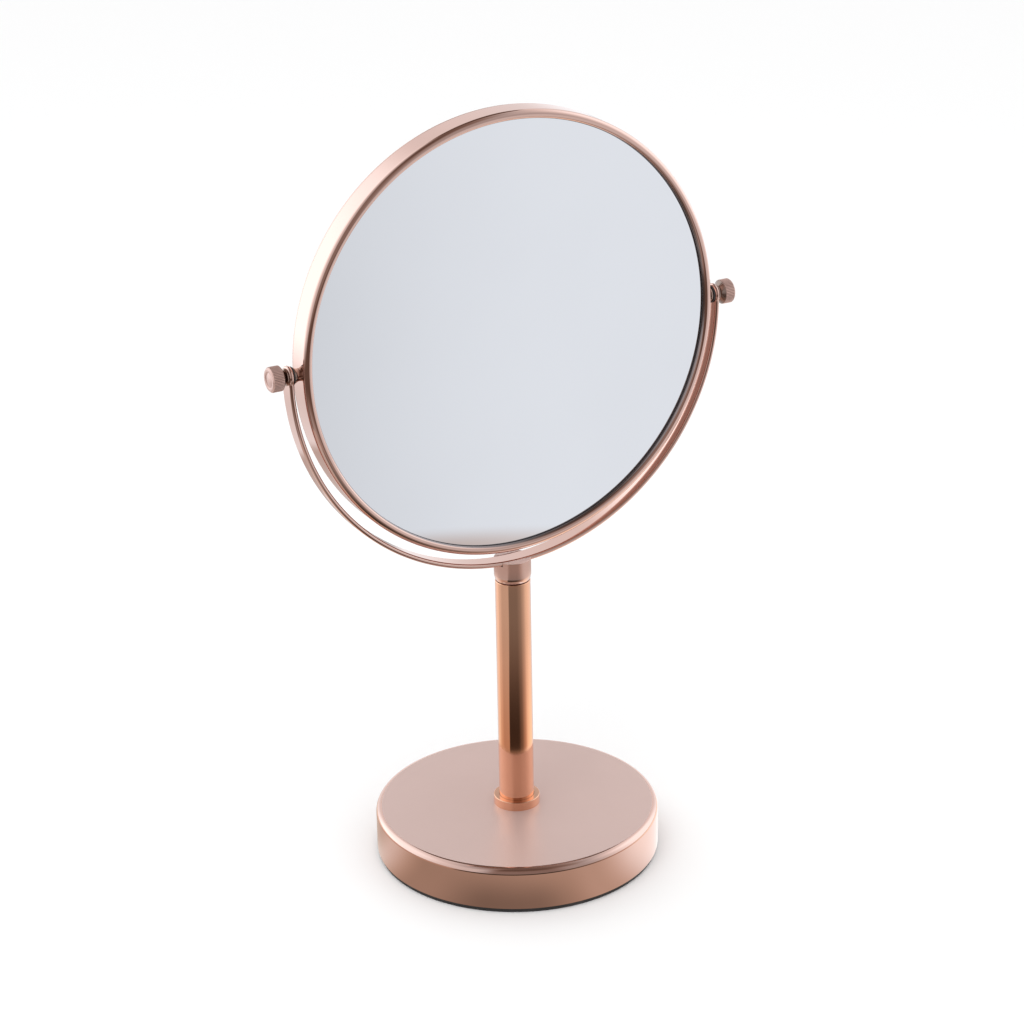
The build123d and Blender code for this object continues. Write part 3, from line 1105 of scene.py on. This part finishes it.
def stem_stripes(bench, turned, height):
    """What the stem mirrors: a dark core, sharp to the left and slow to the right, warmer near the base."""
    far = bench.ease(height, 54 * mm, 121 * mm)
    left = (0.55 - 0.14 * far) * bench.ease(turned - 9 * far, -35, -41)
    left = left + 0.22 * bench.ease(turned, -72, -98) + 0.28 * bench.ease(turned, -98, -116)
    right = 0.12 * bench.ease(turned, 20, 45) + 0.3 * bench.ease(turned, 42, 68)
    right = right + 0.5 * bench.ease(turned, 62, 92) + 0.2 * bench.ease(turned, 88, 112)
    tone = 0.055 + 0.18 * far + left + right * (1.35 - 0.6 * bench.ease(height, base_top, 121 * mm))
    deep = bench.mix(bench.ease(tone, 0.6, 1.2), ember_light, honey_light)
    tint = bench.mix(bench.ease(height, base_top, 129 * mm), deep, pale_light)
    back = bench.ease(abs(turned), 112, 150)
    plain = 1.05 - (1.05 - plain_tone) * bench.ease(abs(turned), 138, 162)
    return tone + back * (plain - tone), bench.mix(back, tint, white_light)


def collar_tone(bench, round_about):
    """What the collar mirrors: a softer form of the stem's stripes."""
    tone = 0.41 + 0.2 * bench.ease(round_about, -14, -34) + 0.33 * bench.ease(round_about, 28, 76)
    tone = tone + bench.ease(abs(round_about), 122, 176) * (0.68 - tone)
    return tone, bench.mix(bench.ease(tone, 0.45, 0.9), blush_light, white_light)


def table_tone(bench, round_about, reach):
    """The table: close in as the base's side mirrors it, then as the stem does, then as the collar does."""
    left = 0.39 * bench.ease(round_about, -52, -80)
    left = left + (0.3 * bench.ease(reach, 0.14, 0.33) - 0.18) * bench.ease(round_about, -80, -98)
    right = 0.1 * bench.ease(round_about, -16, 23) + 0.06 * bench.ease(round_about, 23, 39)
    right = right + 0.62 * bench.ease(round_about, 40, 82)
    shadow = bench.ease(reach, 0.105, 0.070) * bench.ease(abs(round_about + 3), 40, 10)
    tone = (0.45 + left + right) * (1 - 0.45 * shadow)
    tone = tone + bench.ease(abs(round_about), 122, 176) * (0.95 - tone)
    tint = bench.mix(bench.ease(tone, 0.45, 1.15), amber_light, white_light)
    stripes, stripe_tint = stem_stripes(bench, round_about, stem_slope * (reach - stem_radius))
    zone = bench.ease(reach, *stem_zone)
    tone = tone + zone * (stripes - tone)
    tint = bench.mix(zone, tint, stripe_tint)
    softer, softer_tint = collar_tone(bench, round_about)
    zone = bench.ease(reach, *collar_zone)
    return tone + zone * (softer - tone), bench.mix(zone, tint, softer_tint)


def set_table():
    """The table top that only reflections see, from above. It fades out at its edge."""
    table = stage_sheet("near_table", [(pole, table_lift), (table_reach, table_lift)])
    material, bench = new_finish("near_table_tone")
    across, along, _ = bench.along(bench.place())
    reach = distance(across, along)
    tone, tint = table_tone(bench, bearing(bench, across, along), reach)
    glow = bench.add("Emission", sockets={"Color": tint, "Strength": tone})
    clear = bench.add("BsdfTransparent")
    below = bench.add("NewGeometry", out="Backfacing")
    gone = below + (1 - below) * bench.ease(reach, table_reach - table_fade, table_reach)
    bench.end("Material", "Surface", bench.add("MixShader", sockets={0: gone, 1: glow, 2: clear}))
    table.data.materials.append(material)
    table.visible_camera = False
    table.visible_diffuse = False
    table.visible_shadow = False
    table.visible_transmission = False


def set_lamp():
    """One large soft lamp above and to the left, for a faint shadow."""
    lamp = bpy.data.lights.new("softbox", "AREA")
    lamp.shape = "DISK"
    lamp.size = 1.6
    lamp.energy = 9.0
    placed = bpy.data.objects.new("softbox", lamp)
    bpy.context.scene.collection.objects.link(placed)
    placed.location = (-0.7, -0.5, 1.9)
    placed.rotation_euler = (-placed.location).to_track_quat("-Z", "Y").to_euler()
    placed.visible_glossy = False


bpy.context.scene.view_settings.view_transform = "Standard"
build_object()
set_camera()
set_world()
set_floor()
set_table()
set_lamp()
